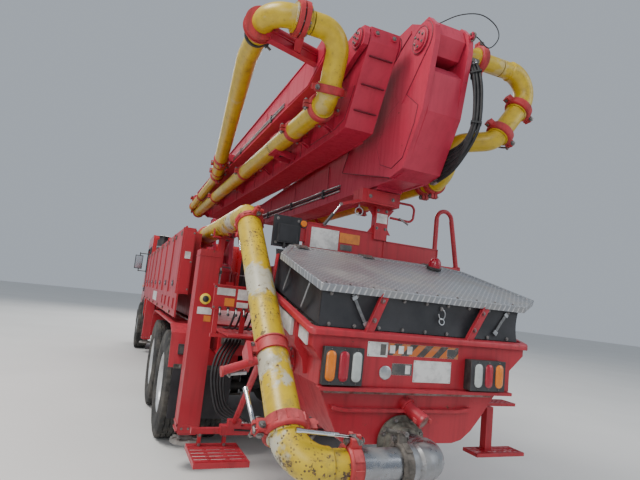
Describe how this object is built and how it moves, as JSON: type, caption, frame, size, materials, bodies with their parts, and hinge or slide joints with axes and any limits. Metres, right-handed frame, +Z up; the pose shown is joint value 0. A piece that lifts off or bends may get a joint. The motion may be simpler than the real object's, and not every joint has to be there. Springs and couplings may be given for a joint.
{
  "type": "concrete pump truck",
  "caption": "Cab-over truck with a rear hopper, outriggers and a folding boom of four sections that carries a delivery pipe.",
  "frame": {"origin": "on the ground under the middle of the whole box", "axes": "+X to the truck's left, +Y to its rear, +Z up"},
  "size_m": [2.88, 11.485, 3.7605],
  "materials": {
    "red_paint": "faded gloss",
    "yellow_paint": "chipped",
    "black_metal": "satin",
    "tyre": "worn",
    "glass": "clear",
    "dark_trim": "matte",
    "cast_metal": "rough",
    "alu_plate": "tread plate",
    "chrome": "polished",
    "rubber": "dull"
  },
  "bodies": {
    "chassis": {"frame_rails": "black_metal", "deck_structure": "red_paint", "front_axle": "black_metal", "rear_axles": "black_metal", "cab_shell": "red_paint", "cab_windows": "glass", "cab_interior": "dark_trim", "engine_block": "cast_metal", "front_grille": "black_metal", "front_bumper": "cast_metal", "mirrors": "black_metal", "rear_fenders": "red_paint", "fuel_tank": "alu_plate", "air_cleaner": "dark_trim", "side_body_left": "red_paint", "side_body_right": "red_paint", "outrigger_housings": "red_paint", "deck_pipe": "yellow_paint", "hopper": "red_paint", "splash_guard": "rubber", "tail_lamp_boxes": "black_metal", "boom_rest": "red_paint", "steps": "red_paint"},
    "steering_knuckle_left": {"steering_knuckle_left": "black_metal"},
    "steering_knuckle_right": {"steering_knuckle_right": "black_metal"},
    "front_wheel_left": {"front_wheel_left": "tyre"},
    "front_wheel_right": {"front_wheel_right": "tyre"},
    "rear_wheels_1_left": {"rear_wheels_1_left": "tyre"},
    "rear_wheels_1_right": {"rear_wheels_1_right": "tyre"},
    "rear_wheels_2_left": {"rear_wheels_2_left": "tyre"},
    "rear_wheels_2_right": {"rear_wheels_2_right": "tyre"},
    "door_left": {"cab_door_left": "red_paint"},
    "door_right": {"cab_door_right": "red_paint"},
    "lid": {"hopper_lid": "alu_plate"},
    "beam_front_left": {"outrigger_beam_front_left": "red_paint"},
    "beam_front_right": {"outrigger_beam_front_right": "red_paint"},
    "beam_rear_left": {"outrigger_beam_rear_left": "red_paint"},
    "beam_rear_right": {"outrigger_beam_rear_right": "red_paint"},
    "jack_front_left": {"jack_leg_front_left": "red_paint"},
    "jack_front_right": {"jack_leg_front_right": "red_paint"},
    "jack_rear_left": {"jack_leg_rear_left": "red_paint"},
    "jack_rear_right": {"jack_leg_rear_right": "red_paint"},
    "turret": {"turret": "red_paint"},
    "section_1": {"boom_section_1": "red_paint", "boom_pipe_1": "yellow_paint"},
    "section_2": {"boom_section_2": "red_paint", "boom_pipe_2": "yellow_paint"},
    "section_3": {"boom_section_3": "red_paint", "boom_pipe_3": "yellow_paint"},
    "section_4": {"boom_section_4": "red_paint", "boom_pipe_4": "yellow_paint"},
    "barrel_1": {"lift_barrel_1": "red_paint"},
    "rod_1": {"lift_rod_1": "chrome"},
    "barrel_2": {"lift_barrel_2": "red_paint"},
    "rod_2": {"lift_rod_2": "chrome"},
    "barrel_3": {"lift_barrel_3": "red_paint"},
    "rod_3": {"lift_rod_3": "chrome"},
    "barrel_4": {"lift_barrel_4": "red_paint"},
    "rod_4": {"lift_rod_4": "chrome"}
  },
  "joints": [
    {"name": "steer_left", "type": "hinge", "parent": "chassis", "child": "steering_knuckle_left", "pos_m": [0.828, -4.3925, 0.525], "axis": [0, 0, 1], "range_deg": [-32, 32]},
    {"name": "steer_right", "type": "hinge", "parent": "chassis", "child": "steering_knuckle_right", "pos_m": [-0.828, -4.3925, 0.525], "axis": [0, 0, 1], "range_deg": [-32, 32]},
    {"name": "front_wheel_left_spin", "type": "hinge", "parent": "steering_knuckle_left", "child": "front_wheel_left", "pos_m": [1.09, -4.3925, 0.525], "axis": [1, 0, 0], "continuous": true},
    {"name": "rear_wheels_1_left_spin", "type": "hinge", "parent": "chassis", "child": "rear_wheels_1_left", "pos_m": [0.9, 1.2075, 0.525], "axis": [1, 0, 0], "continuous": true},
    {"name": "rear_wheels_2_left_spin", "type": "hinge", "parent": "chassis", "child": "rear_wheels_2_left", "pos_m": [0.9, 2.5775, 0.525], "axis": [1, 0, 0], "continuous": true},
    {"name": "front_wheel_right_spin", "type": "hinge", "parent": "steering_knuckle_right", "child": "front_wheel_right", "pos_m": [-1.09, -4.3925, 0.525], "axis": [1, 0, 0], "continuous": true},
    {"name": "rear_wheels_1_right_spin", "type": "hinge", "parent": "chassis", "child": "rear_wheels_1_right", "pos_m": [-0.9, 1.2075, 0.525], "axis": [1, 0, 0], "continuous": true},
    {"name": "rear_wheels_2_right_spin", "type": "hinge", "parent": "chassis", "child": "rear_wheels_2_right", "pos_m": [-0.9, 2.5775, 0.525], "axis": [1, 0, 0], "continuous": true},
    {"name": "door_left_hinge", "type": "hinge", "parent": "chassis", "child": "door_left", "pos_m": [1.158, -5.4985, 1.8], "axis": [0, 0, -1], "range_deg": [0, 68]},
    {"name": "door_right_hinge", "type": "hinge", "parent": "chassis", "child": "door_right", "pos_m": [-1.158, -5.4985, 1.8], "axis": [0, 0, 1], "range_deg": [0, 68]},
    {"name": "lid_hinge", "type": "hinge", "parent": "chassis", "child": "lid", "pos_m": [0, 4.42124, 1.89511], "axis": [1, 0, 0], "range_deg": [0, 42]},
    {"name": "beam_front_left_extend", "type": "slide", "parent": "chassis", "child": "beam_front_left", "axis": [1, 0, 0], "range_m": [0, 1.2]},
    {"name": "jack_front_left_lower", "type": "slide", "parent": "beam_front_left", "child": "jack_front_left", "axis": [0, 0, -1], "range_m": [0, 0.21]},
    {"name": "beam_front_right_extend", "type": "slide", "parent": "chassis", "child": "beam_front_right", "axis": [-1, 0, 0], "range_m": [0, 1.2]},
    {"name": "jack_front_right_lower", "type": "slide", "parent": "beam_front_right", "child": "jack_front_right", "axis": [0, 0, -1], "range_m": [0, 0.21]},
    {"name": "beam_rear_left_extend", "type": "slide", "parent": "chassis", "child": "beam_rear_left", "axis": [1, 0, 0], "range_m": [0, 1.2]},
    {"name": "jack_rear_left_lower", "type": "slide", "parent": "beam_rear_left", "child": "jack_rear_left", "axis": [0, 0, -1], "range_m": [0, 0.21]},
    {"name": "beam_rear_right_extend", "type": "slide", "parent": "chassis", "child": "beam_rear_right", "axis": [-1, 0, 0], "range_m": [0, 1.2]},
    {"name": "jack_rear_right_lower", "type": "slide", "parent": "beam_rear_right", "child": "jack_rear_right", "axis": [0, 0, -1], "range_m": [0, 0.21]},
    {"name": "slew", "type": "hinge", "parent": "chassis", "child": "turret", "pos_m": [0, -2.6925, 2], "axis": [0, 0, 1], "range_deg": [-180, 180]},
    {"name": "boom_1_hinge", "type": "hinge", "parent": "turret", "child": "section_1", "pos_m": [-0.175, -2.9925, 2.9], "axis": [1, 0, 0], "range_deg": [0, 88]},
    {"name": "boom_2_hinge", "type": "hinge", "parent": "section_1", "child": "section_2", "pos_m": [-0.175, 4.9875, 3.45], "axis": [-1, 0, 0], "range_deg": [0, 180]},
    {"name": "boom_3_hinge", "type": "hinge", "parent": "section_2", "child": "section_3", "pos_m": [0.23, -2.0925, 3.35], "axis": [1, 0, 0], "range_deg": [0, 180]},
    {"name": "boom_4_hinge", "type": "hinge", "parent": "section_3", "child": "section_4", "pos_m": [0.5, 4.7875, 3.43], "axis": [-1, 0, 0], "range_deg": [0, 180]},
    {"name": "barrel_1_pivot", "type": "hinge", "parent": "turret", "child": "barrel_1", "pos_m": [-0.175, -2.8425, 2.2], "axis": [1, 0, 0], "range_deg": [-1, 62.6]},
    {"name": "rod_1_stroke", "type": "slide", "parent": "barrel_1", "child": "rod_1", "axis": [0, 0.9153, 0.4027], "range_m": [-0.01, 0.77]},
    {"name": "barrel_2_pivot", "type": "hinge", "parent": "section_1", "child": "barrel_2", "pos_m": [-0.175, 1.9075, 3.08], "axis": [1, 0, 0], "range_deg": [-1, 1.9]},
    {"name": "rod_2_stroke", "type": "slide", "parent": "barrel_2", "child": "rod_2", "axis": [0, 1, 0.0028], "range_m": [-0.01, 0.56]},
    {"name": "barrel_3_pivot", "type": "hinge", "parent": "section_2", "child": "barrel_3", "pos_m": [-0.175, 1.5075, 3.71], "axis": [-1, 0, 0], "range_deg": [-1, 1.9]},
    {"name": "rod_3_stroke", "type": "slide", "parent": "barrel_3", "child": "rod_3", "axis": [0, -0.9996, -0.0269], "range_m": [-0.01, 0.56]},
    {"name": "barrel_4_pivot", "type": "hinge", "parent": "section_3", "child": "barrel_4", "pos_m": [0.23, 1.8075, 3.385], "axis": [1, 0, 0], "range_deg": [-1, 1.9]},
    {"name": "rod_4_stroke", "type": "slide", "parent": "barrel_4", "child": "rod_4", "axis": [0, 1, -0.0058], "range_m": [-0.01, 0.46]}
  ],
  "couplings": [
    {"joint": "steer_right", "follows": "steer_left", "ratio": 1},
    {"joint": "barrel_1_pivot", "follows": "boom_1_hinge", "ratio": 0.7},
    {"joint": "rod_1_stroke", "follows": "boom_1_hinge", "m_per_rad": 0.49483},
    {"joint": "barrel_2_pivot", "follows": "boom_2_hinge", "ratio": 0.005},
    {"joint": "rod_2_stroke", "follows": "boom_2_hinge", "m_per_rad": 0.17507},
    {"joint": "barrel_3_pivot", "follows": "boom_3_hinge", "ratio": 0.005},
    {"joint": "rod_3_stroke", "follows": "boom_3_hinge", "m_per_rad": 0.17507},
    {"joint": "barrel_4_pivot", "follows": "boom_4_hinge", "ratio": 0.005},
    {"joint": "rod_4_stroke", "follows": "boom_4_hinge", "m_per_rad": 0.14324}
  ]
}
